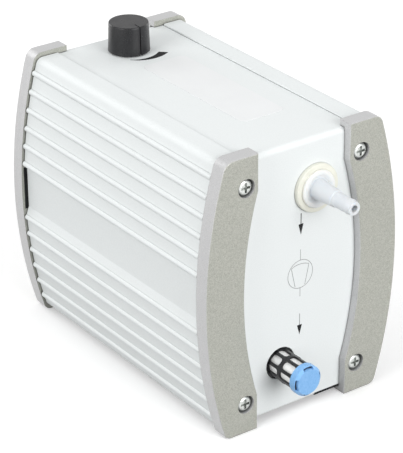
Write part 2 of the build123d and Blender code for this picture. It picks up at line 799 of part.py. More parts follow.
def appliance_inlet_pins():
    """Three flat pins with tabs inside the case."""
    tab_end = panel_y - socket_depth - tab_length
    pins = [pin_blank(x, z, 0, tab_end, panel_y - 1) for x, z in inlet_pin_places()]
    return Compound(pins)


def switch_frame():
    """Snap-in body of the mains rocker switch."""
    x, z = switch_x, switch_z
    half_w, half_h = switch_width / 2, switch_height / 2
    face = RectangleRounded(switch_width + 2 * switch_bezel, switch_height + 2 * switch_bezel, 1.2)
    frame = prism_y(Pos(x, z) * face, panel_y, panel_y + 1.6)
    frame = frame + block(x - half_w, x + half_w, panel_y - switch_depth, panel_y, z - half_h, z + half_h)
    in_w, in_h = half_w - switch_wall, half_h - switch_wall
    frame = frame - block(x - in_w, x + in_w, panel_y - 8, panel_y + 3, z - in_h, z + in_h)
    trunnion_hole = Pos(x, rocker_pivot_y, z) * Rot(0, 90, 0) * Cylinder(
        trunnion_radius + running_clearance, 2 * half_w
    )
    frame = frame - trunnion_hole
    tab_end = panel_y - switch_depth
    for tab_z in (z - switch_tab_pitch, z, z + switch_tab_pitch):
        tab = block(x - 2.4, x + 2.4, tab_end - tab_length, tab_end, tab_z - 0.4, tab_z + 0.4)
        frame = frame + tab
    return frame


def switch_rocker():
    """Rocker on two trunnions, tilted to off."""
    half_w = switch_width / 2 - switch_wall - soft_clearance
    half_h = switch_height / 2 - switch_wall - 0.7
    face_out, face_middle = 3.6, 2.8
    points = [(face_out, -half_h), (face_middle, 0), (face_out, half_h), (-0.5, half_h)]
    points += [(-4.0, 3.0), (-4.0, -3.0), (-0.5, -half_h)]
    body = prism_x(make_face(Polyline(*points, close=True)), -half_w, half_w)
    trunnions = Rot(0, 90, 0) * Cylinder(trunnion_radius, 2 * (half_w + switch_wall))
    return Pos(switch_x, rocker_pivot_y, switch_z) * Rot(rocker_tilt, 0, 0) * (body + trunnions)


# ---------------------------------------------------------------- motor

def stator_core():
    """Laminated stator stack with open slots round the bore."""
    face = RectangleRounded(2 * stator_half, 2 * stator_half, stator_corner_radius)
    face = face - Circle(stator_bore_radius)
    slot_middle = stator_bore_radius + stator_slot_depth / 2
    slot = Pos(slot_middle, 0) * Rectangle(stator_slot_depth + 1, stator_slot_width)
    for number in range(stator_slot_count):
        face = face - Rot(0, 0, number * 360 / stator_slot_count) * slot
    for sx in (-1, 1):
        for sz in (-1, 1):
            hole = Circle(tie_bolt_radius + screw_clearance)
            face = face - Pos(sx * tie_bolt_offset, sz * tie_bolt_offset) * hole
    return prism_y(Pos(0, motor_axis_z) * face, motor_front_y, motor_back_y)


def winding_ring(y0, y1):
    """End turns: a rounded ring of bundled wire."""
    ring = ring_y(winding_outer_radius, stator_bore_radius + 1.5, y0, y1, 0, motor_axis_z)
    return fillet(ring.edges().filter_by(GeomType.CIRCLE), 2.5)


def stator_windings():
    """Front and rear end turns."""
    front = winding_ring(motor_front_y - winding_length, motor_front_y)
    rear = winding_ring(motor_back_y, motor_back_y + winding_length)
    return Compound([front, rear])


def end_shield(y_stack, direction):
    """Cast end shield: a square bell with the bearing seat in its middle."""
    face = Pos(0, motor_axis_z) * RectangleRounded(2 * stator_half, 2 * stator_half, stator_corner_radius)
    y_out = y_stack + direction * shield_length
    low, high = sorted((y_stack, y_out))
    shield = prism_y(face, low, high)
    inner_end = y_out - direction * shield_wall
    low_in, high_in = sorted((y_stack - direction * 1, inner_end))
    shield = shield - rod_y(winding_outer_radius + 1.5, low_in, high_in, 0, motor_axis_z)
    boss_low, boss_high = sorted((y_out, y_out - direction * (bearing_width + 1)))
    shield = shield + rod_y(bearing_radius + 3.5, boss_low, boss_high, 0, motor_axis_z)
    seat_end = y_out - direction * (bearing_width + 2)
    seat_start = y_out - direction * 1.0
    seat_low, seat_high = sorted((seat_start, seat_end))
    shield = shield - rod_y(bearing_radius + seat_clearance, seat_low, seat_high, 0, motor_axis_z)
    shield = shield - rod_y(bearing_radius - 3, low - 1, high + 1, 0, motor_axis_z)
    for sx in (-1, 1):
        for sz in (-1, 1):
            x, z = sx * tie_bolt_offset, motor_axis_z + sz * tie_bolt_offset
            shield = shield - rod_y(tie_bolt_radius + screw_clearance, low - 1, high + 1, x, z)
    return shield


def end_shield_rear():
    """Rear shield with the foot that stands on the cradle."""
    shield = end_shield(motor_back_y, 1)
    y0 = motor_back_y
    half = shield_foot_half_width
    foot = block(-half, half, y0, y0 + shield_length, crankcase_foot_z, motor_axis_z - stator_half + 1)
    return shield + foot - mount_holes()


def bearing_outer(y0):
    """Outer race with both shields, which cover the balls."""
    z = motor_axis_z
    race = ring_y(bearing_radius, bearing_radius - bearing_race, y0, y0 + bearing_width, 0, z)
    shield_inner = shaft_radius + bearing_race + 0.4
    for y in (y0 + 0.4, y0 + bearing_width - 1.0):
        race = race + ring_y(bearing_radius - bearing_race, shield_inner, y, y + 0.6, 0, z)
    return race


def bearing_inner(y0):
    z = motor_axis_z
    return ring_y(shaft_radius + bearing_race, shaft_radius + seat_clearance, y0, y0 + bearing_width, 0, z)


def rotor_core():
    """Squirrel-cage rotor pressed on the shaft, with its two end rings."""
    z = motor_axis_z
    core = ring_y(rotor_radius, shaft_radius + seat_clearance, motor_front_y, motor_back_y, 0, z)
    for y0 in (motor_front_y - 3, motor_back_y):
        core = core + ring_y(rotor_radius - 2, shaft_radius + 6, y0, y0 + 3, 0, z)
    return core


def motor_shaft():
    """Shaft from the eccentric at the front to the fan at the rear."""
    shaft = rod_y(shaft_radius, shaft_front_y, fan_y + fan_length + 1.5, 0, motor_axis_z)
    return chamfer(shaft.edges().filter_by(GeomType.CIRCLE), 0.6)


def cooling_fan():
    """Fan with straight blades on a hub and a back disc."""
    fan = rod_y(fan_hub_radius, fan_y, fan_y + fan_length) + rod_y(fan_radius, fan_y, fan_y + 1.6)
    blade = block(fan_hub_radius - 1, fan_radius, fan_y, fan_y + fan_length - 1, 0, fan_blade_thickness)
    for number in range(fan_blade_count):
        fan = fan + Rot(0, number * 360 / fan_blade_count, 0) * blade
    fan = fan - rod_y(shaft_radius + seat_clearance, fan_y - 1, fan_y + fan_length + 1)
    return Pos(0, 0, motor_axis_z) * fan


def tie_bolts():
    """Four bolts through both shields and the stack, with nuts at the rear."""
    start = motor_front_y - shield_length
    end = motor_back_y + shield_length
    bolts = []
    for sx in (-1, 1):
        for sz in (-1, 1):
            x, z = sx * tie_bolt_offset, motor_axis_z + sz * tie_bolt_offset
            bolt = rod_y(tie_bolt_radius, start, end + 4, x, z)
            head = Pos(x, start, z) * Rot(90, 0, 0) * hexagon(3.8, 2.8)
            nut = Pos(x, end + 3.2, z) * Rot(90, 0, 0) * hexagon(3.8, 3.2)
            bolts.append(bolt + head + nut)
    return Compound(bolts)


# ---------------------------------------------------------------- pump

def crankcase():
    """Cast crankcase: open-fronted chamber, motor flange and round diaphragm seat."""
    half = crankcase_half_width
    low_y = pump_y - crankcase_half_length
    high_y = motor_front_y - shield_length - 2.9
    body = block(-half, half, low_y, high_y, crankcase_foot_z, diaphragm_z - seat_thickness)
    body = fillet(body.edges().filter_by(Axis.Z), 6.0)
    chamber_top = diaphragm_z - seat_thickness + 1
    wall = crankcase_wall
    chamber_low = motor_axis_z - counterweight_radius - 5
    chamber = block(-half + wall, half - wall, low_y - 1, high_y - wall, chamber_low, chamber_top)
    body = body - fillet(chamber.edges().filter_by(Axis.Y), 5.0)
    body = body - rod_y(shaft_radius + 3, low_y, high_y + 1, 0, motor_axis_z)
    seat = rod_z(seat_radius, diaphragm_z - seat_thickness, diaphragm_z, 0, pump_y)
    body = body + seat
    body = body - rod_z(seat_inner_radius, diaphragm_z - seat_thickness - 12, diaphragm_z + 1, 0, pump_y)
    flange = Pos(0, motor_axis_z) * RectangleRounded(2 * stator_half, 2 * stator_half, stator_corner_radius)
    plate = prism_y(flange - Pos(0, motor_axis_z) * Circle(bearing_radius - 1), high_y - 3, high_y + 2.85)
    for sx in (-1, 1):
        for sz in (-1, 1):
            x, z = sx * tie_bolt_offset, motor_axis_z + sz * tie_bolt_offset
            plate = plate - rod_y(4.3, high_y - 4, high_y + 4, x, z)
    body = body + plate
    for x, y in head_bolt_places():
        bolt_hole = head_bolt_radius + running_clearance
        body = body - rod_z(bolt_hole, diaphragm_z - head_bolt_grip - 2, diaphragm_z + 1, x, y)
    return body - mount_holes()


def head_bolt_places():
    places = []
    for number in range(head_bolt_count):
        angle = math.radians(45 + number * 360 / head_bolt_count)
        places.append((head_bolt_circle * math.cos(angle), pump_y + head_bolt_circle * math.sin(angle)))
    return places


def eccentric():
    """Eccentric journal and counterweight on the shaft's end."""
    half = rod_bearing_width / 2
    back = pump_y + half + 2.0
    journal = rod_y(journal_radius, pump_y - half - 0.5, pump_y + half, 0, crank_z)
    collar = rod_y(journal_radius + 2.0, pump_y + half, back, 0, crank_z)
    weight_front = pump_y - half - 0.5 - counterweight_thickness
    weight = rod_y(counterweight_radius, weight_front, pump_y - half - 0.5, 0, motor_axis_z)
    reach = counterweight_radius + 1
    keep = block(-reach, reach, weight_front - 1, pump_y, motor_axis_z - reach, motor_axis_z - 2)
    hub = rod_y(journal_radius + 2.0, weight_front, pump_y - half - 0.5, 0, motor_axis_z)
    body = journal + collar + (weight & keep) + hub
    return body - rod_y(shaft_radius + seat_clearance, weight_front - 1, back + 1, 0, motor_axis_z)


def rod_bearing_outer():
    half = rod_bearing_width / 2
    race = ring_y(rod_bearing_radius, rod_bearing_radius - 2.6, pump_y - half, pump_y + half, 0, crank_z)
    inner = journal_radius + 3.2
    for y in (pump_y - half + 0.4, pump_y + half - 1.0):
        race = race + ring_y(rod_bearing_radius - 2.6, inner, y, y + 0.6, 0, crank_z)
    return race


def rod_bearing_inner():
    half = rod_bearing_width / 2
    bore = journal_radius + seat_clearance
    return ring_y(journal_radius + 2.6, bore, pump_y - half, pump_y + half, 0, crank_z)


def connecting_rod():
    """Rod from the eccentric's bearing to the disc under the diaphragm."""
    half = rod_bearing_width / 2
    ring_radius = rod_bearing_radius + rod_ring_wall
    ring = rod_y(ring_radius, pump_y - half, pump_y + half, 0, crank_z)
    shank_points = [(-rod_shank_half_width - 4, crank_z), (rod_shank_half_width + 4, crank_z)]
    shank_points += [(rod_shank_half_width, rod_top_z - 3), (-rod_shank_half_width, rod_top_z - 3)]
    shank = prism_y(make_face(Polyline(*shank_points, close=True)), pump_y - half, pump_y + half)
    disc = rod_z(clamp_radius, rod_top_z - 1, diaphragm_z, 0, pump_y)
    disc = disc + Pos(0, pump_y, rod_top_z - 4) * Cone(rod_shank_half_width, clamp_radius - 3, 6)
    rod = ring + shank + disc
    rod = rod - rod_y(rod_bearing_radius + seat_clearance, pump_y - half - 1, pump_y + half + 1, 0, crank_z)
    return rod - rod_z(2.5 + running_clearance, rod_top_z - 14, diaphragm_z + 1, 0, pump_y)


def clamp_disc():
    """Disc that clamps the diaphragm's centre to the rod."""
    low = valve_plate_z
    disc = rod_z(clamp_radius, low, low + clamp_thickness, 0, pump_y)
    disc = fillet(disc.edges().sort_by(Axis.Z)[-1], 1.0)
    disc = disc - rod_z(2.5 + running_clearance, low - 1, low + 9, 0, pump_y)
    return disc - Pos(0, pump_y, low + clamp_thickness - 1.2) * Cone(2.6, 5.1, 2.4)


def clamp_screw():
    """Countersunk screw through the clamp disc into the rod."""
    top = valve_plate_z + clamp_thickness
    head = Pos(0, pump_y, top - 1.2) * Cone(2.5, 4.9, 2.4)
    screw = head + rod_z(2.5, rod_top_z - 12, top - 1.2, 0, pump_y)
    return screw - rod_z(1.5, top - 1.5, top + 1, 0, pump_y)


def diaphragm():
    """Rubber diaphragm, clamped at its rim and at its centre."""
    sheet = rod_z(seat_radius - 0.3, diaphragm_z, valve_plate_z, 0, pump_y)
    sheet = sheet - rod_z(2.5 + soft_clearance, diaphragm_z - 1, valve_plate_z + 1, 0, pump_y)
    for x, y in head_bolt_places():
        sheet = sheet - rod_z(head_bolt_radius + soft_clearance, diaphragm_z - 1, valve_plate_z + 1, x, y)
    return sheet


def port_places():
    """Suction and delivery valve ports, as (x, radius) from the head's middle."""
    return [(flap_offset, 1), (-flap_offset, -1)]


def valve_plate():
    """Plate over the diaphragm with the working recess and two valve ports."""
    low, high = valve_plate_z, head_z
    plate = rod_z(seat_radius, low, high, 0, pump_y)
    recess_radius = clamp_radius + stroke_radius + travel_clearance + 1
    plate = plate - rod_z(recess_radius, low - 1, low + head_recess_depth, 0, pump_y)
    for x, _side in port_places():
        plate = plate - rod_z(flap_radius + 0.4, high - 1.6, high + 1, x, pump_y)
        for number in range(4):
            angle = math.radians(45 + 90 * number)
            hole_x = x + 3.2 * math.cos(angle)
            hole_y = pump_y + 3.2 * math.sin(angle)
            plate = plate - rod_z(1.1, low, high + 1, hole_x, hole_y)
    for x, y in head_bolt_places():
        plate = plate - rod_z(head_bolt_radius + running_clearance, low - 1, high + 1, x, y)
    return plate


def valve_flaps():
    """Two elastomer valve discs in their seats."""
    low = head_z - 1.6
    flaps = []
    for x, _side in port_places():
        flaps.append(rod_z(flap_radius, low, low + flap_thickness, x, pump_y))
    return Compound(flaps)


def port_axis(x, y, direction):
    """Location of a head port: +Z runs outwards along the port."""
    turn = {"front": Rot(90, 0, 0), "rear": Rot(-90, 0, 0), "side": Rot(0, -90, 0)}[direction]
    return Pos(x, y, inlet_z) * turn


def fitting_places():
    """The head's three fittings: location, and length of the barb."""
    return [
        (port_axis(inlet_x, front_fitting_y, "front"), front_barb_length),
        (port_axis(regulator_port_x, rear_fitting_y, "rear"), rear_barb_length),
        (port_axis(side_fitting_x, pump_y, "side"), side_barb_length),
    ]


def head_cover():
    """Head cover with a suction and a delivery chamber and three side ports."""
    low, high = head_z, head_top_z
    cover = rod_z(seat_radius, low, high, 0, pump_y)
    cover = fillet(cover.edges().sort_by(Axis.Z)[-1], 2.0)
    for place, _length in fitting_places():
        cover = cover + place * rod_z(port_boss_radius, -12, -0.1)
    for sign in (-1, 1):
        x0, x1 = sorted((sign * head_chamber_wall / 2, sign * head_chamber_end))
        y0, y1 = pump_y - head_chamber_half_y, pump_y + head_chamber_half_y
        chamber = block(x0, x1, y0, y1, low - 1, high - head_chamber_wall)
        cover = cover - fillet(chamber.edges().filter_by(Axis.Z), 4.0)
    for place, _length in fitting_places():
        cover = cover - place * rod_z(port_radius, head_chamber_end - seat_radius - 8, 1)
    for x, y in head_bolt_places():
        cover = cover - rod_z(head_bolt_radius + running_clearance, low - 1, high + 1, x, y)
        cover = cover - rod_z(4.4, high - head_bolt_seat, high + 1, x, y)
    return cover


def head_bolts():
    """Socket-head bolts through the head and diaphragm into the crankcase."""
    bolts = []
    seat = head_top_z - head_bolt_seat
    for x, y in head_bolt_places():
        head = rod_z(4.1, seat, seat + head_bolt_head, x, y)
        head = fillet(head.edges().sort_by(Axis.Z)[-1], 0.5)
        socket = Pos(x, y, seat + 2.5) * hexagon(2.3, 4)
        bolts.append(head - socket + rod_z(head_bolt_radius, diaphragm_z - head_bolt_grip, seat, x, y))
    return Compound(bolts)


def hose_barb(length):
    """Hose barb along +Z, screwed into a port that ends at z = 0."""
    thread = port_radius - running_clearance
    shoulder = fitting_flange
    points = [(thread, -7), (thread, 0), (port_boss_radius - 1, 0), (port_boss_radius - 1, shoulder)]
    points += [(barb_radius, shoulder), (barb_radius, shoulder + length)]
    points += [(barb_bore_radius, shoulder + length), (barb_bore_radius, -7)]
    return turned(points)


def head_fittings():
    """Three straight hose barbs in the head's ports."""
    return Compound([place * hose_barb(length) for place, length in fitting_places()])


# ---------------------------------------------------------------- hoses and leads

def hose(path, start, direction):
    """Hose of round section swept along a path that starts at a point."""
    plane = Plane(origin=start, z_dir=direction)
    wall = Circle(hose_radius) - Circle(hose_bore_radius)
    return sweep(plane * wall, path=path)


def suction_hose():
    """Straight hose from the inlet nozzle's tail to the head."""
    start = -panel_y + tail_reach + screw_clearance
    end = front_fitting_y - fitting_flange - screw_clearance
    return ring_y(hose_radius, hose_bore_radius, start, end, inlet_x, inlet_z)


def regulator_hose():
    """Hose from the head's suction chamber back to the regulator valve."""
    start = Vector(regulator_port_x, rear_fitting_y + fitting_flange + screw_clearance, inlet_z)
    end = Vector(regulator_x, regulator_y - valve_body_radius - screw_clearance, inlet_z)
    bend_start = start + Vector(0, rear_barb_length, 0)
    bend_end = end - Vector(0, rear_barb_length, 0)
    bend = Spline(bend_start, bend_end, tangents=[(0, 1, 0), (0, 1, 0)])
    path = Wire([Edge.make_line(start, bend_start), bend.edge(), Edge.make_line(bend_end, end)])
    return hose(path, start, (0, 1, 0))


def exhaust_hose():
    """Hose from the delivery port down the left side to the silencer's tail."""
    start_x = side_fitting_x - fitting_flange - screw_clearance
    bend = 8.0
    bend_x = start_x - side_barb_length - 0.2
    start = Vector(start_x, pump_y, inlet_z)
    bend_start = Vector(bend_x, pump_y, inlet_z)
    bend_end = Vector(bend_x - bend, pump_y, inlet_z - bend)
    slant = bend * math.sqrt(0.5)
    bend_middle = Vector(bend_x - slant, pump_y, inlet_z - bend + slant)
    tail_start = Vector(silencer_x, -panel_y + tail_reach + tail_barb_length + 2, silencer_z)
    tail_end = Vector(silencer_x, -panel_y + tail_reach + screw_clearance, silencer_z)
    side_x_low = -crankcase_half_width - hose_radius - 5
    front_y_low = pump_y - crankcase_half_length - hose_radius - 3
    height = inlet_z - silencer_z
    down = Spline(
        bend_end,
        (bend_end.X + 2, pump_y - 10, silencer_z + 0.63 * height),
        (side_x_low, front_y_low + 6, silencer_z + 0.33 * height),
        (silencer_x - 16, front_y_low, silencer_z + 0.1 * height),
        tail_start,
        tangents=[(0, 0, -1), (0, -1, 0)],
    )
    path = Wire([
        Edge.make_line(start, bend_start),
        Edge.make_three_point_arc(bend_start, bend_middle, bend_end),
        down.edge(),
        Edge.make_line(tail_start, tail_end),
    ])
    return hose(path, start, (-1, 0, 0))


def lead(*points):
    """Insulated lead with rounded bends; it leaves its first point along -Y."""
    path = FilletPolyline(*points, radius=lead_bend_radius)
    plane = Plane(origin=points[0], z_dir=(0, -1, 0))
    return sweep(plane * Circle(lead_radius), path=path)


def internal_leads():
    """Leads from the mains inlet to the switch, the motor, the capacitor and the frame."""
    tab_y = panel_y - socket_depth - tab_length - 0.2
    low_y = tab_y - 3.5
    shield_y = motor_back_y + shield_length + 0.2
    live, neutral, earth = inlet_pin_places()
    low_tab_z, high_tab_z = switch_z - switch_tab_pitch, switch_z + switch_tab_pitch
    shield_x, shield_z = switch_x + 13, 44
    side_lead_x = -43
    can_y = capacitor_back_y + 0.2
    to_switch = lead(
        (live[0], tab_y, live[1]), (live[0], low_y, live[1]), (live[0] + 3, low_y, 18),
        (switch_x, low_y, 18), (switch_x, low_y, low_tab_z), (switch_x, tab_y, low_tab_z),
    )
    to_motor = lead(
        (switch_x, tab_y, high_tab_z), (switch_x, low_y, high_tab_z),
        (shield_x, low_y, shield_z), (shield_x, shield_y, shield_z),
    )
    to_capacitor = lead(
        (neutral[0], tab_y, neutral[1]), (neutral[0], low_y, neutral[1]), (side_lead_x, low_y, 30),
        (side_lead_x, low_y, capacitor_z), (capacitor_x, low_y, capacitor_z), (capacitor_x, can_y, capacitor_z),
    )
    to_frame = lead(
        (earth[0], tab_y, earth[1]), (earth[0], low_y, earth[1]),
        (earth[0] - 6, low_y, 31), (earth[0] - 6, shield_y, 31),
    )
    return Compound([to_switch, to_motor, to_capacitor, to_frame])


# ---------------------------------------------------------------- carriage

def mount_rows():
    """Y of the front and rear pairs of rubber mounts."""
    return pump_y - crankcase_half_length / 2, motor_back_y + shield_length / 2


def rubber_mount_places():
    return [(sx * mount_x, y) for sx in (-1, 1) for y in mount_rows()]


def mount_holes():
    """Tapped holes for the upper mount screws."""
    top = crankcase_foot_z + mount_screw_reach + 0.5
    holes = [rod_z(screw_radius + running_clearance, 0, top, x, y) for x, y in rubber_mount_places()]
    return Part() + holes


def cradle():
    """Steel tray that carries the crankcase and the rear shield."""
    y0 = pump_y - crankcase_half_length - cradle_margin
    y1 = motor_back_y + shield_length + 1
    plate = block(-cradle_half_width, cradle_half_width, y0, y1, cradle_z, crankcase_foot_z)
    for sign in (-1, 1):
        x0, x1 = sorted((sign * cradle_half_width, sign * (cradle_half_width - cradle_thickness)))
        plate = plate + block(x0, x1, y0, y1, cradle_z - cradle_lip, cradle_z)
    front_mount_y, rear_mount_y = mount_rows()
    window_front = front_mount_y + mount_radius + cradle_window_inset
    window_rear = rear_mount_y - mount_radius - cradle_margin
    half = cradle_window_half_width
    plate = plate - block(-half, half, window_front, window_rear, cradle_z - 1, crankcase_foot_z + 1)
    for x, y in rubber_mount_places():
        plate = plate - rod_z(screw_radius + screw_clearance, cradle_z - 1, crankcase_foot_z + 1, x, y)
    return plate


def rubber_mounts():
    """Rubber buffers between the base plate and the cradle."""
    mounts = []
    for x, y in rubber_mount_places():
        buffer = rod_z(mount_radius, floor_z, cradle_z, x, y)
        hole = screw_radius + running_clearance
        depth = mount_screw_bite + 1
        buffer = buffer - rod_z(hole, floor_z - 1, floor_z + depth, x, y)
        buffer = buffer - rod_z(hole, cradle_z - depth, cradle_z + 1, x, y)
        mounts.append(buffer)
    return Compound(mounts)


def mount_screws():
    """Low-head screws from below, and studs up into the crankcase and rear shield."""
    screws = []
    for x, y in rubber_mount_places():
        head = rod_z(mount_screw_head_radius, base_lift - mount_screw_head_height, base_lift, x, y)
        screws.append(head + rod_z(screw_radius, base_lift, floor_z + mount_screw_bite, x, y))
        stud_top = crankcase_foot_z + mount_screw_reach
        screws.append(rod_z(screw_radius, cradle_z - mount_screw_bite, stud_top, x, y))
    return Compound(screws)


def capacitor():
    """Run capacitor above the stator."""
    can = rod_y(capacitor_radius, capacitor_front_y, capacitor_back_y, capacitor_x, capacitor_z)
    return fillet(can.edges().filter_by(GeomType.CIRCLE), 1.0)


def capacitor_clip():
    """Band round the capacitor, standing on the stator."""
    y0 = (motor_front_y + motor_back_y - capacitor_clip_width) / 2
    y1 = y0 + capacitor_clip_width
    x, z = capacitor_x, capacitor_z
    inside = capacitor_radius + running_clearance
    band = rod_y(inside + 1.2, y0, y1, x, z)
    band = band + block(x - 5, x + 5, y0, y1, stator_top_z, z)
    return band - rod_y(inside, y0 - 1, y1 + 1, x, z)


# ---------------------------------------------------------------- assembly

def turned_round(part):
    """The same part on the opposite side of the case."""
    return Rot(0, 0, 180) * part


bracket = bracket_right()
extrusion = side_extrusion_right()
front_screws = bracket_screws_front()

nodes = {
    "housing_cover": housing_cover(),
    "side_extrusion_left": mirrored(extrusion),
    "side_extrusion_right": extrusion,
    "base_plate": base_plate(),
    "bracket_front_left": mirrored(bracket),
    "bracket_front_right": bracket,
    "bracket_rear_left": turned_round(bracket),
    "bracket_rear_right": turned_round(mirrored(bracket)),
    "bracket_screws_front": front_screws,
    "bracket_screws_rear": turned_round(front_screws),
    "base_plate_screws": base_screws(),
    "inlet_washer": inlet_washer(),
    "inlet_nozzle": inlet_nozzle(),
    "inlet_nut": inlet_nut(),
    "silencer_cage": silencer_cage(),
    "silencer_element": silencer_element(),
    "silencer_cap": silencer_cap(),
    "silencer_nut": silencer_nut(),
    "regulator_knob": control_knob(),
    "regulator_spindle": valve_spindle(),
    "regulator_valve": regulator_valve(),
    "regulator_lock_nut": valve_lock_nut(),
    "appliance_inlet": appliance_inlet(),
    "appliance_inlet_pins": appliance_inlet_pins(),
    "switch_frame": switch_frame(),
    "switch_rocker": switch_rocker(),
    "internal_leads": internal_leads(),
    "stator_core": stator_core(),
    "stator_windings": stator_windings(),
    "end_shield_front": end_shield(motor_front_y, -1),
    "end_shield_rear": end_shield_rear(),
    "bearing_front_outer": bearing_outer(front_bearing_y),
    "bearing_front_inner": bearing_inner(front_bearing_y),
    "bearing_rear_outer": bearing_outer(rear_bearing_y),
    "bearing_rear_inner": bearing_inner(rear_bearing_y),
    "rotor_core": rotor_core(),
    "motor_shaft": motor_shaft(),
    "cooling_fan": cooling_fan(),
    "tie_bolts": tie_bolts(),
    "crankcase": crankcase(),
    "eccentric": eccentric(),
    "rod_bearing_outer": rod_bearing_outer(),
    "rod_bearing_inner": rod_bearing_inner(),
    "connecting_rod": connecting_rod(),
    "clamp_disc": clamp_disc(),
    "clamp_screw": clamp_screw(),
    "diaphragm": diaphragm(),
    "valve_plate": valve_plate(),
    "valve_flaps": valve_flaps(),
    "head_cover": head_cover(),
    "head_bolts": head_bolts(),
    "head_fittings": head_fittings(),
    "suction_hose": suction_hose(),
    "regulator_hose": regulator_hose(),
    "exhaust_hose": exhaust_hose(),
    "cradle": cradle(),
    "rubber_mounts": rubber_mounts(),
    "mount_screws": mount_screws(),
    "capacitor": capacitor(),
    "capacitor_clip": capacitor_clip(),
}

for name, part in nodes.items():
    export_step(Pos(0, frame_shift_y, 0) * part, os.path.join("parts", name + ".step"))
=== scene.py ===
import bpy
import bmesh
import json
import math
from mathutils import Matrix, Vector


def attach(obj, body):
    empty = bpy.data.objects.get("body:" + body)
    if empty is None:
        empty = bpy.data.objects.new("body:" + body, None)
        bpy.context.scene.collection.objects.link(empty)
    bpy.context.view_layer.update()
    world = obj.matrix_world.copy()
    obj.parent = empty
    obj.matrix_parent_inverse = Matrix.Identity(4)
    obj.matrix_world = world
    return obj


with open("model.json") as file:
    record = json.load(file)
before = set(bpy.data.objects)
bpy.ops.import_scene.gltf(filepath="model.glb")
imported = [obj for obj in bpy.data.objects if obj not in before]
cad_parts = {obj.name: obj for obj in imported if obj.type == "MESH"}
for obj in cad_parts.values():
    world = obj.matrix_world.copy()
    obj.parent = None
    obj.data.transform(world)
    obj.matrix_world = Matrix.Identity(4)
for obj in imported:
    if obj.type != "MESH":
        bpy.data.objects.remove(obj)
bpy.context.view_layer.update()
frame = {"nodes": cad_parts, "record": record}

MM = 0.001
SHIFT = 13.9              # mm along Y, from the frame of the camera fit to the CAD's frame
PANEL = -90.3 + SHIFT     # mm, outer face of the front panel
TOP = 161.3               # mm, upper face of the top sheet
NOZZLE_X, NOZZLE_Z = 11.0, 132.2


# ------------------------------------------------------------ shader nodes

NOISE_LOW, NOISE_HIGH = 0.35, 0.65        # where most values of a noise lie
GRAIN_DARK, GRAIN_LIGHT = 0.32, 0.68      # where a grain's two colours stand on its ramp
BROAD_SHARE, BROAD_DETAIL = 14, 3.0       # gloss varies this much more broadly than colour
BEVEL_SAMPLES = 4
SHADE_SAMPLES = 12
SHADE_LOW, SHADE_HIGH = 0.35, 0.92        # open share of the sky in a crease and beside it
RIM_LOW, RIM_HIGH = 0.55, 0.9             # how far a normal turns to Y from rim to face, for the painted rim sheen


def new_material(name):
    material = bpy.data.materials.new(name)
    material.use_nodes = True
    tree = material.node_tree
    return material, tree, tree.nodes["Principled BSDF"]


def coords(tree, stretch=(1, 1, 1)):
    source = tree.nodes.new("ShaderNodeTexCoord")
    mapping = tree.nodes.new("ShaderNodeMapping")
    mapping.inputs["Scale"].default_value = stretch
    tree.links.new(source.outputs["Object"], mapping.inputs["Vector"])
    return mapping.outputs["Vector"]


def noise(tree, vector, scale, detail=2.0):
    node = tree.nodes.new("ShaderNodeTexNoise")
    node.inputs["Scale"].default_value = scale
    node.inputs["Detail"].default_value = detail
    tree.links.new(vector, node.inputs["Vector"])
    return node.outputs["Fac"]


def spread(tree, value, low, high, from_low=NOISE_LOW, from_high=NOISE_HIGH):
    """The value, carried from one range to another."""
    node = tree.nodes.new("ShaderNodeMapRange")
    node.inputs["From Min"].default_value = from_low
    node.inputs["From Max"].default_value = from_high
    node.inputs["To Min"].default_value = low
    node.inputs["To Max"].default_value = high
    tree.links.new(value, node.inputs["Value"])
    return node.outputs["Result"]


def ramp(tree, value, stops):
    node = tree.nodes.new("ShaderNodeValToRGB")
    elements = node.color_ramp.elements
    while len(elements) < len(stops):
        elements.new(0.5)
    for element, (place, colour) in zip(elements, stops):
        element.position = place
        element.color = (*colour, 1)
    tree.links.new(value, node.inputs["Fac"])
    return node.outputs["Color"]


def vector_math(tree, operation, vector, operand=None, result="Vector"):
    node = tree.nodes.new("ShaderNodeVectorMath")
    node.operation = operation
    if operand is not None:
        node.inputs[1].default_value = operand
    tree.links.new(vector, node.inputs[0])
    return node.outputs[result]


def scalar_math(tree, operation, *values):
    node = tree.nodes.new("ShaderNodeMath")
    node.operation = operation
    for number, value in enumerate(values):
        tree.links.new(value, node.inputs[number])
    return node.outputs["Value"]


def along_y(tree, vector):
    node = tree.nodes.new("ShaderNodeSeparateXYZ")
    tree.links.new(vector, node.inputs["Vector"])
    return node.outputs["Y"]


def mixed(tree, first, second, factor=None, blend="MIX"):
    """Two colours blended by a factor, or in full where none is given."""
    node = tree.nodes.new("ShaderNodeMix")
    node.data_type = "RGBA"
    node.blend_type = blend
    if factor is None:
        node.inputs["Factor"].default_value = 1.0
    else:
        tree.links.new(factor, node.inputs["Factor"])
    tree.links.new(first, node.inputs["A"])
    tree.links.new(second, node.inputs["B"])
    return node.outputs["Result"]


def bump(tree, shader, value, depth, strength, edge=0.0):
    """Relief from the value; where an edge radius is given, edges also catch the light as if rounded."""
    node = tree.nodes.new("ShaderNodeBump")
    node.inputs["Strength"].default_value = strength
    node.inputs["Distance"].default_value = depth
    tree.links.new(value, node.inputs["Height"])
    if edge:
        soft = tree.nodes.new("ShaderNodeBevel")
        soft.samples = BEVEL_SAMPLES
        soft.inputs["Radius"].default_value = edge
        tree.links.new(soft.outputs["Normal"], node.inputs["Normal"])
    tree.links.new(node.outputs["Normal"], shader.inputs["Normal"])


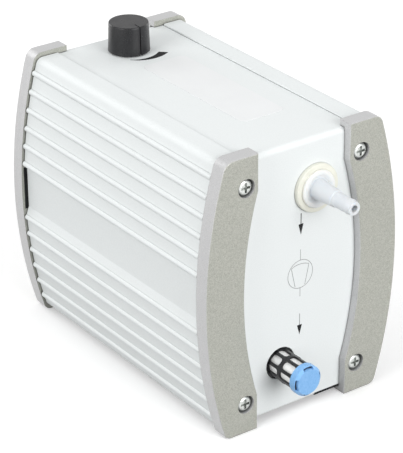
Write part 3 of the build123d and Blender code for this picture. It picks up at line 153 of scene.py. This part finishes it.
def painted_crease_shade(tree, colour, reach, depth):
    """Painted shade: darken the colour where two faces meet or a gap closes, as far as faces nearby hide
    the sky.
    """
    near = tree.nodes.new("ShaderNodeAmbientOcclusion")
    near.samples = SHADE_SAMPLES
    near.inputs["Distance"].default_value = reach
    shade = spread(tree, near.outputs["AO"], 1 - depth, 1.0, SHADE_LOW, SHADE_HIGH)
    return mixed(tree, colour, shade, blend="MULTIPLY")


def painted_rim_sheen(tree, face, rim_sheen):
    """Painted sheen: one colour on the faces that look along Y and another on the cast rims around them,
    lighter where they catch more light.
    """
    source = tree.nodes.new("ShaderNodeTexCoord")
    facing = scalar_math(tree, "ABSOLUTE", along_y(tree, source.outputs["Normal"]))
    return mixed(tree, rim_sheen, face, spread(tree, facing, 0.0, 1.0, RIM_LOW, RIM_HIGH))


# ------------------------------------------------------------ finishes

def grained(tree, fine, dark, light):
    return ramp(tree, fine, [(GRAIN_DARK, dark), (GRAIN_LIGHT, light)])


def surface(name, dark, light, rough=(0.4, 0.5), grain=900, depth=0.00003, metallic=0.0,
            stretch=(1, 1, 1), strength=0.5, edge=0.0, crease_shade=None, rim_sheen=None, gloss=0.5,
            coat=0.0, coat_rough=0.15, coat_ior=1.5):
    """A finish whose colour, gloss and relief all follow a fine grain; where asked, painted shade
    darkens its corners and a painted sheen lightens its rims.

    The painted shade in corners is given by its reach in metres and the depth of its dark
    lines, and the painted rim sheen by the two colours of the faces that do not look along Y.
    """
    material, tree, shader = new_material(name)
    vector = coords(tree, stretch)
    fine = noise(tree, vector, grain)
    broad = noise(tree, vector, grain / BROAD_SHARE, BROAD_DETAIL)
    colour = grained(tree, fine, dark, light)
    # Painted sheen: lighter colours on the rims.
    if rim_sheen:
        colour = painted_rim_sheen(tree, colour, grained(tree, fine, *rim_sheen))
    # Painted shade: darker lines in corners and gaps.
    if crease_shade:
        colour = painted_crease_shade(tree, colour, *crease_shade)
    tree.links.new(colour, shader.inputs["Base Color"])
    tree.links.new(spread(tree, broad, *rough), shader.inputs["Roughness"])
    bump(tree, shader, fine, depth, strength, edge)
    shader.inputs["Metallic"].default_value = metallic
    shader.inputs["Specular IOR Level"].default_value = gloss
    shader.inputs["Coat Weight"].default_value = coat
    shader.inputs["Coat Roughness"].default_value = coat_rough
    shader.inputs["Coat IOR"].default_value = coat_ior
    return material


def milky():
    """Natural nylon: a bluish spigot, and a flange with painted shade at its root that pales outwards to
    its rim.
    """
    material, tree, shader = new_material("natural_nylon")
    vector = coords(tree)
    broad = noise(tree, vector, 110)
    fine = noise(tree, vector, 700)
    spigot = ramp(tree, broad, [(0.3, (0.70, 0.73, 0.76)), (0.7, (0.74, 0.765, 0.79))])

    # Painted shade: the flange is darker and bluish at the spigot's root and pales outwards.
    root_radius, rim_radius = 5.0 * MM, 9.5 * MM
    source = tree.nodes.new("ShaderNodeTexCoord")
    offset = vector_math(tree, "SUBTRACT", source.outputs["Object"], (NOZZLE_X * MM, 0, NOZZLE_Z * MM))
    across = vector_math(tree, "MULTIPLY", offset, (1, 0, 1))
    radius = vector_math(tree, "LENGTH", across, result="Value")
    outwards = spread(tree, radius, 0.0, 1.0, root_radius, rim_radius)
    flange_and_root_shade = ramp(tree, outwards, [(0.0, (0.58, 0.63, 0.70)), (0.45, (0.78, 0.80, 0.81)),
                                   (1.0, (0.95, 0.95, 0.90))])

    spigot_end, flange_start = (PANEL - 5.5) * MM, (PANEL - 2.5) * MM
    depth = spread(tree, along_y(tree, source.outputs["Object"]), 0.0, 1.0, spigot_end, flange_start)
    tree.links.new(mixed(tree, spigot, flange_and_root_shade, depth), shader.inputs["Base Color"])
    tree.links.new(spread(tree, fine, 0.32, 0.40), shader.inputs["Roughness"])
    bump(tree, shader, fine, 0.00001, 0.3)
    shader.inputs["Subsurface Weight"].default_value = 0.5
    shader.inputs["Subsurface Scale"].default_value = 0.002
    shader.inputs["Subsurface Radius"].default_value = (0.8, 0.9, 1.0)
    return material


# Where a finish is given a reach and depth for its corners, shade is painted into its colour there:
# darker lines in corners, creases and gaps.
finishes = {
    "white_coat": surface(
        "white_powder_coat", dark=(0.785, 0.815, 0.815), light=(0.815, 0.845, 0.845), rough=(0.42, 0.50),
        grain=1400, depth=0.00001, edge=0.0003, crease_shade=(0.0007, 0.6), gloss=0.2),
    # Painted sheen: the rim colours make the side and top faces lighter and more neutral than the faces
    # that look along Y.
    "hammer_grey": surface(
        "grey_hammer_coat", dark=(0.24, 0.245, 0.205), light=(0.42, 0.425, 0.375), rough=(0.36, 0.46),
        grain=2200, depth=0.00003, edge=0.0005, crease_shade=(0.0016, 0.6),
        rim_sheen=((0.41, 0.41, 0.412), (0.55, 0.55, 0.557)), coat=0.8, coat_rough=0.35, coat_ior=1.9),
    "black_steel": surface(
        "black_sheet", dark=(0.02, 0.02, 0.022), light=(0.035, 0.035, 0.037), rough=(0.45, 0.6),
        grain=1200),
    "zinc": surface(
        "zinc_plate", dark=(0.50, 0.52, 0.50), light=(0.64, 0.66, 0.64), rough=(0.32, 0.42),
        grain=400, depth=0.000002, metallic=1.0, edge=0.0002, crease_shade=(0.0010, 0.4)),
    "steel": surface(
        "turned_steel", dark=(0.55, 0.56, 0.58), light=(0.66, 0.67, 0.69), rough=(0.25, 0.35),
        grain=900, depth=0.00001, metallic=1.0, stretch=(1, 1, 8)),
    "cream_plastic": surface(
        "cream_nylon", dark=(0.77, 0.77, 0.68), light=(0.82, 0.82, 0.73), rough=(0.48, 0.54),
        grain=260, depth=0.000003, edge=0.0003, crease_shade=(0.0010, 0.35)),
    "black_plastic": surface(
        "black_nylon", dark=(0.007, 0.007, 0.008), light=(0.016, 0.016, 0.018), rough=(0.26, 0.36),
        grain=1500, depth=0.00002, edge=0.0002, gloss=0.42),
    "blue_plastic": surface(
        "blue_cap", dark=(0.195, 0.44, 0.79), light=(0.25, 0.50, 0.85), rough=(0.25, 0.36),
        grain=900, depth=0.00001, edge=0.0002),
    "white_porous": surface(
        "sintered_white", dark=(0.88, 0.88, 0.87), light=(0.97, 0.97, 0.96), rough=(0.7, 0.85),
        grain=2200, depth=0.00003, strength=0.6),
    "brass": surface(
        "turned_brass", dark=(0.70, 0.50, 0.22), light=(0.80, 0.60, 0.30), rough=(0.25, 0.38),
        grain=900, depth=0.00001, metallic=1.0),
    "cast_alu": surface(
        "cast_aluminium", dark=(0.52, 0.53, 0.54), light=(0.66, 0.67, 0.68), rough=(0.42, 0.58),
        grain=1500, depth=0.00006, metallic=1.0),
    "iron": surface(
        "stacked_laminations", dark=(0.20, 0.20, 0.22), light=(0.33, 0.33, 0.35), rough=(0.4, 0.55),
        grain=600, depth=0.00005, metallic=0.8, stretch=(1, 8, 1)),
    "copper": surface(
        "enamelled_wire", dark=(0.45, 0.16, 0.06), light=(0.66, 0.28, 0.12), rough=(0.3, 0.45),
        grain=900, depth=0.0002, metallic=0.7, stretch=(1, 1, 3)),
    "rubber": surface(
        "black_rubber", dark=(0.015, 0.015, 0.015), light=(0.03, 0.03, 0.03), rough=(0.6, 0.75),
        grain=1300),
    "hose": surface(
        "silicone_hose", dark=(0.62, 0.61, 0.57), light=(0.70, 0.69, 0.65), rough=(0.35, 0.45),
        grain=500, depth=0.00002),
    "grey_can": surface(
        "drawn_can", dark=(0.62, 0.63, 0.64), light=(0.72, 0.73, 0.74), rough=(0.28, 0.4),
        grain=700, depth=0.00001, metallic=1.0, stretch=(1, 6, 1)),
    "milky_plastic": milky(),
}

slots = {row["node"]: row["material_slot"] for row in frame["record"]["subparts"]}
for name, node in frame["nodes"].items():
    for slot in node.material_slots:
        slot.material = finishes[slots[name]]

# Black ink for print; the same black also makes the strips of painted shade at the groove ends and the
# black tab's edge.
black_print_and_shade = surface(
    "black_print_and_painted_shade", dark=(0.012, 0.012, 0.013), light=(0.022, 0.022, 0.023), rough=(0.5, 0.6),
    grain=1200, gloss=0.1)
grey_ink = surface(
    "printed_grey_ink", dark=(0.22, 0.22, 0.23), light=(0.30, 0.30, 0.31), rough=(0.4, 0.55),
    grain=1200)
# Painted shade: dark navy for the floors of the cap's slots.
painted_slot_shade = surface(
    "cap_slot_painted_shade", dark=(0.006, 0.010, 0.03), light=(0.012, 0.018, 0.045), rough=(0.4, 0.5),
    grain=1200)
film = surface(
    "clear_label_film", dark=(0.81, 0.825, 0.83), light=(0.83, 0.845, 0.85), rough=(0.34, 0.40),
    grain=60, depth=0.000002)


# ------------------------------------------------------------ thin pieces

PRINT = 0.00004           # m, thickness of a printed mark
DARK_STRIP = 0.0001       # m, thickness of a dark strip: painted shade in a gap, or the black tab's edge

forward = Vector((0, -1, 0))
up = Vector((0, 0, 1))


def solid(name, rings, normal, height, material, body="case"):
    """A thin piece: each ring is a closed loop of points; its face is filled and given a thickness."""
    mesh = bpy.data.meshes.new(name)
    work = bmesh.new()
    for ring in rings:
        face = work.faces.new([work.verts.new(point) for point in ring])
        face.normal_update()
        if face.normal.dot(normal) < 0:
            face.normal_flip()
    work.faces.ensure_lookup_table()
    made = bmesh.ops.extrude_face_region(work, geom=list(work.faces))
    moved = [part for part in made["geom"] if isinstance(part, bmesh.types.BMVert)]
    bmesh.ops.translate(work, verts=moved, vec=normal * height)
    bmesh.ops.recalc_face_normals(work, faces=list(work.faces))
    work.to_mesh(mesh)
    work.free()
    piece = bpy.data.objects.new(name, mesh)
    bpy.context.scene.collection.objects.link(piece)
    mesh.materials.append(material)
    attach(piece, body)


def front(x, z):
    """A point on the front panel, in metres from millimetres."""
    return Vector((x, PANEL, z)) * MM


def top(x, y):
    """A point on the top sheet, y being in the frame of the camera fit."""
    return Vector((x, y + SHIFT, TOP)) * MM


def bar(a, b, width, place):
    """A straight stroke from a to b."""
    a, b = Vector(a), Vector(b)
    across = (b - a).normalized().orthogonal() * width / 2
    return [place(*(a + across)), place(*(b + across)), place(*(b - across)), place(*(a - across))]


def sector(cx, cy, start, end, place):
    """A four-cornered piece of a ring; start and end are each (inner radius, outer radius, angle)."""
    (inner_0, outer_0, a), (inner_1, outer_1, b) = start, end
    return [place(cx + r * math.cos(t), cy + r * math.sin(t))
            for r, t in ((inner_0, a), (outer_0, a), (outer_1, b), (inner_1, b))]


def ring_strokes(cx, cy, radius, width, place, start=0, end=360, count=72):
    inner, outer = radius - width / 2, radius + width / 2
    rings = []
    for number in range(count):
        a, b = (math.radians(start + (end - start) * (number + k) / count) for k in (0, 1))
        rings.append(sector(cx, cy, (inner, outer, a), (inner, outer, b), place))
    return rings


def rounded(x0, x1, y0, y1, radius, place, count=8):
    """A rectangle with round corners, each of so many steps."""
    points = []
    for cx, cy, start in ((x1 - radius, y1 - radius, 0), (x0 + radius, y1 - radius, 90),
                          (x0 + radius, y0 + radius, 180), (x1 - radius, y0 + radius, 270)):
        for number in range(count + 1):
            angle = math.radians(start + 90 * number / count)
            points.append(place(cx + radius * math.cos(angle), cy + radius * math.sin(angle)))
    return points


# ------------------------------------------------------------ marks on the front panel, mm

MARK_X = 1.9
ARROW_HALF_WIDTH = 1.65
SYMBOL_Z, SYMBOL_RADIUS, SYMBOL_LINE = 82.8, 8.4, 0.3


def arrow(name, z_top, z_neck, z_tip, shaft, material):
    """An arrow that points down; its head is always printed in black, the darker of the two print
    colours.
    """
    solid(name + "_shaft", [bar((MARK_X, z_top), (MARK_X, z_neck), shaft, front)], forward, PRINT,
          material)
    head = [front(MARK_X - ARROW_HALF_WIDTH, z_neck), front(MARK_X + ARROW_HALF_WIDTH, z_neck),
            front(MARK_X, z_tip)]
    solid(name + "_head", [head], forward, PRINT, black_print_and_shade)


arrow("flow_arrow_upper", 119.2, 112.9, 106.5, 0.5, black_print_and_shade)
arrow("flow_arrow_lower", 58.5, 51.6, 45.6, 0.42, grey_ink)

# Strokes from the symbol's middle: the two leads, the two slanted sides and the bow between them.
straight = [((0, 14.8), (0, SYMBOL_RADIUS)), ((0, -SYMBOL_RADIUS), (0, -13.6)),
            ((-6.1, 4.8), (-3.4, -7.0)), ((5.7, 4.2), (3.2, -7.2))]
bow = [(-6.1, 4.9), (-4.0, 5.7), (-1.6, 6.1), (0.7, 6.1), (3.3, 5.6), (5.9, 4.6)]
symbol = ring_strokes(MARK_X, SYMBOL_Z, SYMBOL_RADIUS, SYMBOL_LINE, front)
for a, b in straight + list(zip(bow, bow[1:])):
    symbol.append(bar((MARK_X + a[0], SYMBOL_Z + a[1]), (MARK_X + b[0], SYMBOL_Z + b[1]),
                      SYMBOL_LINE, front))
solid("pump_symbol", symbol, forward, PRINT, grey_ink)


# ------------------------------------------------------------ marks on the top sheet, mm

KNOB_X, KNOB_Y = -0.9, 66.3
WEDGE_START, WEDGE_SWEEP, WEDGE_STEPS = -122, 78, 40      # degrees round the knob
WEDGE_RADIUS, WEDGE_DRIFT = 14.4, 5.4                     # middle radius, and how far it moves out
WEDGE_HALF, WEDGE_GROWTH, WEDGE_POWER = 0.15, 2.6, 1.1    # half width, and how it grows
FILM_THICKNESS, FILM_CORNER = 0.00012, 4.0


def wedge_edge(t):
    """Inner radius, outer radius and angle at the share t of the crescent's sweep."""
    middle = WEDGE_RADIUS + WEDGE_DRIFT * t
    half = WEDGE_HALF + WEDGE_GROWTH * t ** WEDGE_POWER
    return middle - half, middle + half, math.radians(WEDGE_START + WEDGE_SWEEP * t)


wedge = [sector(KNOB_X, KNOB_Y, wedge_edge(number / WEDGE_STEPS), wedge_edge((number + 1) / WEDGE_STEPS),
                top) for number in range(WEDGE_STEPS)]
solid("control_wedge", wedge, up, PRINT, black_print_and_shade)


# ------------------------------------------------------------ painted shade on the floors of the cap's slots, mm

CAP_X, CAP_Z = -10.9, 32.0
CAP_FACE, SLOT_DEPTH = 25.2, 2.38         # the cap's face before the panel, the floor behind the face
SLOT_RADIUS, SLOT_WIDTH, SLOT_HALF_SWEEP, SLOT_STEPS = 8.0, 1.1, 21, 12
SLOT_FLOOR_THICKNESS = 0.0006


def cap_floor(u, v):
    return Vector((CAP_X + u, PANEL - CAP_FACE + SLOT_DEPTH, CAP_Z + v)) * MM


# Painted shade: a dark navy sheet on each slot's floor, in place of the shade inside the slot.
for number in range(4):
    middle = 90 * number
    rings = ring_strokes(0, 0, SLOT_RADIUS, SLOT_WIDTH, cap_floor,
                         middle - SLOT_HALF_SWEEP, middle + SLOT_HALF_SWEEP, SLOT_STEPS)
    solid("cap_slot_shade_sheet_%d" % number, rings, forward, SLOT_FLOOR_THICKNESS, painted_slot_shade)

solid("blank_label_film", [rounded(-9, 20, -53, 42, FILM_CORNER, top)], up, FILM_THICKNESS, film)


# ------------------------------------------------------------ dark strips: painted shade at the groove ends, and the black tab's edge, mm

GROOVE_LOW, GROOVE_HIGH = 70.6, 96.9      # height of the grip groove
GROOVE_FLOOR, GROOVE_MOUTH = 60.45, 62.5  # from the groove's floor to the bracket's edge
BRACKET_END = 100.1 - SHIFT               # inner face of the brackets, in the frame of the camera fit
TAB_LEFT, TAB_RIGHT, TAB_LOW, TAB_HIGH = 13.0, 30.5, 3.2, 4.5

# Painted shade: a dark strip across each end of the grip groove, on the bracket's inner edge, where the
# groove's pocket lies in shade.
for row, end in (("front", -1), ("rear", 1)):
    for side, sign in (("left", -1), ("right", 1)):
        y = (SHIFT + end * BRACKET_END) * MM
        corners = [Vector((sign * x * MM, y, z * MM)) for x, z in (
            (GROOVE_FLOOR, GROOVE_LOW), (GROOVE_MOUTH, GROOVE_LOW),
            (GROOVE_MOUTH, GROOVE_HIGH), (GROOVE_FLOOR, GROOVE_HIGH))]
        solid("groove_end_gap_%s_%s" % (row, side), [corners], Vector((0, -end, 0)), DARK_STRIP, black_print_and_shade)

tab = [front(x, z) for x, z in ((TAB_LEFT, TAB_LOW), (TAB_RIGHT, TAB_LOW),
                                (TAB_RIGHT, TAB_HIGH), (TAB_LEFT, TAB_HIGH))]
solid("front_tab_edge", [tab], forward, DARK_STRIP, black_print_and_shade)


# ------------------------------------------------------------ studio

FLOOR_HALF_WIDTH, FLOOR_NEAR, FLOOR_FAR = 6, -6, 8
FLOOR_GREY, FLOOR_ROUGHNESS, FLOOR_BOUNCE = 0.90, 0.9, 0.2
GLOW_NEAR, GLOW_FAR = 0.2, 0.65           # strength of the floor's own light
GLOW_START, GLOW_END = 0.6, 1.6           # m from the middle, where it begins and ends to grow
LAMP_SIZE, LAMP_REACH, LAMP_AIM = 1.5, 2.4, (0, 0, 0.08)
SKY_DIFFUSE, SKY_GLOSSY, SKY_CAMERA = 0.5, 0.85, 1.0


def studio_floor(name):
    """A floor that glows for the camera and in gloss, more so far away, and is dim for other light."""
    x = FLOOR_HALF_WIDTH
    mesh = bpy.data.meshes.new(name)
    mesh.from_pydata([(-x, FLOOR_NEAR, 0.0), (x, FLOOR_NEAR, 0.0), (x, FLOOR_FAR, 0.0),
                      (-x, FLOOR_FAR, 0.0)], [], [(0, 1, 2, 3)])
    piece = bpy.data.objects.new(name, mesh)
    bpy.context.scene.collection.objects.link(piece)
    material, tree, shader = new_material(name + "_finish")
    shader.inputs["Base Color"].default_value = (FLOOR_GREY, FLOOR_GREY, FLOOR_GREY, 1)
    shader.inputs["Roughness"].default_value = FLOOR_ROUGHNESS
    shader.inputs["Specular IOR Level"].default_value = 0.0

    source = tree.nodes.new("ShaderNodeTexCoord")
    away = vector_math(tree, "LENGTH", source.outputs["Object"], result="Value")
    glow = tree.nodes.new("ShaderNodeEmission")
    tree.links.new(spread(tree, away, GLOW_NEAR, GLOW_FAR, GLOW_START, GLOW_END),
                   glow.inputs["Strength"])
    lit = tree.nodes.new("ShaderNodeAddShader")
    tree.links.new(shader.outputs["BSDF"], lit.inputs[0])
    tree.links.new(glow.outputs["Emission"], lit.inputs[1])
    dim = tree.nodes.new("ShaderNodeBsdfDiffuse")
    dim.inputs["Color"].default_value = (FLOOR_BOUNCE, FLOOR_BOUNCE, FLOOR_BOUNCE, 1)

    ray = tree.nodes.new("ShaderNodeLightPath")
    seen = scalar_math(tree, "MAXIMUM", ray.outputs["Is Camera Ray"], ray.outputs["Is Glossy Ray"])
    pick = tree.nodes.new("ShaderNodeMixShader")
    tree.links.new(seen, pick.inputs["Fac"])
    tree.links.new(dim.outputs["BSDF"], pick.inputs[1])
    tree.links.new(lit.outputs["Shader"], pick.inputs[2])
    tree.links.new(pick.outputs["Shader"], tree.nodes["Material Output"].inputs["Surface"])
    mesh.materials.append(material)


def lamp_around(name, azimuth, height, power):
    """A soft lamp aimed at the object from a compass direction, 0 in front and 90 on its right."""
    angle = math.radians(azimuth)
    place = Vector((LAMP_REACH * math.sin(angle), -LAMP_REACH * math.cos(angle), height))
    data = bpy.data.lights.new(name, "AREA")
    data.shape = "RECTANGLE"
    data.size = data.size_y = LAMP_SIZE
    data.energy = power
    lamp = bpy.data.objects.new(name, data)
    lamp.location = place
    lamp.rotation_euler = (Vector(LAMP_AIM) - place).to_track_quat("-Z", "Y").to_euler()
    bpy.context.scene.collection.objects.link(lamp)


def studio_world():
    """White for the camera, a little less in gloss, and half as strong for diffuse light."""
    world = bpy.data.worlds.new("studio_world")
    bpy.context.scene.world = world
    world.use_nodes = True
    tree = world.node_tree
    tree.nodes.clear()
    ray = tree.nodes.new("ShaderNodeLightPath")

    def sky(strength):
        node = tree.nodes.new("ShaderNodeBackground")
        node.inputs["Color"].default_value = (1, 1, 1, 1)
        node.inputs["Strength"].default_value = strength
        return node.outputs["Background"]

    def choose(test, no, yes):
        node = tree.nodes.new("ShaderNodeMixShader")
        tree.links.new(ray.outputs[test], node.inputs["Fac"])
        tree.links.new(no, node.inputs[1])
        tree.links.new(yes, node.inputs[2])
        return node.outputs["Shader"]

    unseen = choose("Is Glossy Ray", sky(SKY_DIFFUSE), sky(SKY_GLOSSY))
    out = tree.nodes.new("ShaderNodeOutputWorld")
    tree.links.new(choose("Is Camera Ray", unseen, sky(SKY_CAMERA)), out.inputs["Surface"])


studio_floor("studio_floor")
for name, azimuth, height, power in (
        ("left_light", -84, 1.3, 37.5), ("front_light", 6, 0.95, 46.5),
        ("right_light", 96, 0.95, 14.0), ("back_light", 196, 0.95, 21.0)):
    lamp_around(name, azimuth, height, power)
studio_world()


# ------------------------------------------------------------ camera, as fitted to the photo

CAMERA_YAW, CAMERA_PITCH, CAMERA_ROLL = -35.59, 26.83, -0.41      # degrees
CAMERA_TO_ORIGIN = (-0.0008, 1.3104, -0.0671)                     # m, right, ahead and above
CAMERA_LENS, CAMERA_SENSOR = 178.9, 36                            # mm

yaw, pitch, roll = (math.radians(angle) for angle in (CAMERA_YAW, CAMERA_PITCH, CAMERA_ROLL))
about = (Matrix.Rotation(roll, 3, "Y") @ Matrix.Rotation(pitch, 3, "X") @ Matrix.Rotation(-yaw, 3, "Z"))
right, ahead, above = about.row
place = -(about.transposed() @ Vector(CAMERA_TO_ORIGIN)) + Vector((0, SHIFT * MM, 0))
lens = bpy.data.cameras.new("product_camera")
lens.lens = CAMERA_LENS
lens.sensor_width = CAMERA_SENSOR
camera = bpy.data.objects.new("product_camera", lens)
turn = Matrix((right, above, -ahead)).transposed()
camera.matrix_world = Matrix.Translation(place) @ turn.to_4x4()
bpy.context.scene.collection.objects.link(camera)
bpy.context.scene.camera = camera
bpy.context.scene.view_settings.view_transform = "Standard"
